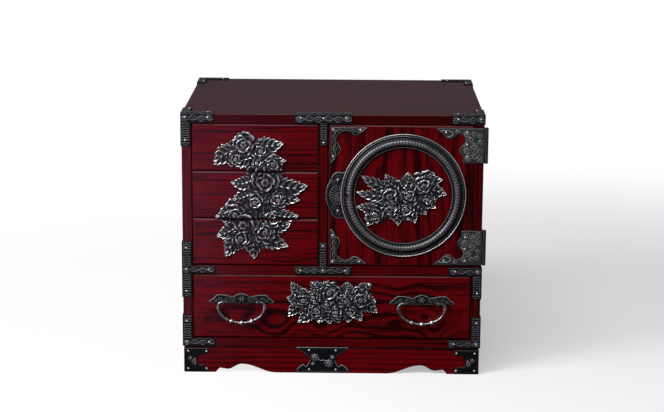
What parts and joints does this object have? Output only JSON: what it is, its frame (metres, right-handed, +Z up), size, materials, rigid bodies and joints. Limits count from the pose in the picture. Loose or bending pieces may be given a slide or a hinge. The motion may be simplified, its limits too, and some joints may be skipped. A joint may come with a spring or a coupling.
{
  "type": "clothing chest",
  "caption": "Small red-lacquered chest with black iron fittings: small drawers beside a hinged door with a raised ring, over a wide drawer with bail handles.",
  "frame": {"origin": "middle of the footprint, on the floor", "axes": "+Z up, +X to the right seen from the front, +Y to the back; the door and drawers face -Y"},
  "size_m": [0.4638, 0.3628, 0.4074],
  "materials": {
    "red_lacquer": "deep red transparent lacquer over figured wood, glossy",
    "plain_wood": "pale paulownia wood, planed and left bare",
    "black_iron": "sheet iron burnt black with lacquer, satin, engraved",
    "nail_heads": "domed iron nail heads, worn bright on top",
    "relief_metal": "chased iron, dark with bright worn ridges"
  },
  "bodies": {
    "cabinet": {"top_board": "red_lacquer", "left_side_board": "red_lacquer", "right_side_board": "red_lacquer", "bottom_board": "red_lacquer", "middle_board": "red_lacquer", "divider_board": "red_lacquer", "back_panel": "plain_wood", "drawer_runners": "plain_wood", "base_front_board": "red_lacquer", "base_rear_board": "red_lacquer", "base_left_board": "red_lacquer", "base_right_board": "red_lacquer", "top_left_bracket": "black_iron", "top_right_bracket": "black_iron", "rear_corner_brackets": "black_iron", "left_middle_bracket": "black_iron", "right_middle_bracket": "black_iron", "bottom_left_bracket": "black_iron", "bottom_right_bracket": "black_iron", "top_centre_bracket": "black_iron", "centre_middle_bracket": "black_iron", "base_corner_plates": "black_iron", "base_centre_plate": "black_iron", "hinge_side_leaves": "black_iron", "hinge_pins": "black_iron", "frame_nails": "nail_heads"},
    "door": {"door_panel": "red_lacquer", "door_hinge_leaves": "black_iron", "door_corner_plates": "black_iron", "lock_plate": "black_iron", "door_nails": "nail_heads", "door_ring": "black_iron", "door_relief": "relief_metal", "lock_case": "black_iron"},
    "lock_bolt": {"lock_bolt": "black_iron"},
    "upper_drawer": {"upper_drawer_front": "red_lacquer", "upper_drawer_sides": "plain_wood", "upper_drawer_back": "plain_wood", "upper_drawer_bottom": "plain_wood", "upper_drawer_relief": "relief_metal"},
    "middle_drawer": {"middle_drawer_front": "red_lacquer", "middle_drawer_sides": "plain_wood", "middle_drawer_back": "plain_wood", "middle_drawer_bottom": "plain_wood", "middle_drawer_relief": "relief_metal"},
    "lower_drawer": {"lower_drawer_front": "red_lacquer", "lower_drawer_sides": "plain_wood", "lower_drawer_back": "plain_wood", "lower_drawer_bottom": "plain_wood", "lower_drawer_relief": "relief_metal"},
    "large_drawer": {"large_drawer_front": "red_lacquer", "large_drawer_sides": "plain_wood", "large_drawer_back": "plain_wood", "large_drawer_bottom": "plain_wood", "large_drawer_relief": "relief_metal", "bail_plates": "black_iron", "bail_posts": "black_iron"},
    "left_bail": {"left_bail": "black_iron"},
    "right_bail": {"right_bail": "black_iron"}
  },
  "joints": [
    {"name": "door_hinge", "type": "hinge", "parent": "cabinet", "child": "door", "pos_m": [0.22895, -0.16955, 0.28075], "axis": [0, 0, 1], "range_deg": [0, 180]},
    {"name": "lock_bolt_slide", "type": "slide", "parent": "door", "child": "lock_bolt", "axis": [-1, 0, 0], "range_m": [0, 0.009]},
    {"name": "upper_drawer_slide", "type": "slide", "parent": "cabinet", "child": "upper_drawer", "axis": [0, -1, 0], "range_m": [0, 0.24]},
    {"name": "middle_drawer_slide", "type": "slide", "parent": "cabinet", "child": "middle_drawer", "axis": [0, -1, 0], "range_m": [0, 0.24]},
    {"name": "lower_drawer_slide", "type": "slide", "parent": "cabinet", "child": "lower_drawer", "axis": [0, -1, 0], "range_m": [0, 0.24]},
    {"name": "large_drawer_slide", "type": "slide", "parent": "cabinet", "child": "large_drawer", "axis": [0, -1, 0], "range_m": [0, 0.25]},
    {"name": "left_bail_swing", "type": "hinge", "parent": "large_drawer", "child": "left_bail", "pos_m": [-0.14005, -0.17795, 0.1141], "axis": [-1, 0, 0], "range_deg": [0, 85]},
    {"name": "right_bail_swing", "type": "hinge", "parent": "large_drawer", "child": "right_bail", "pos_m": [0.13595, -0.17795, 0.1141], "axis": [-1, 0, 0], "range_deg": [0, 85]}
  ]
}
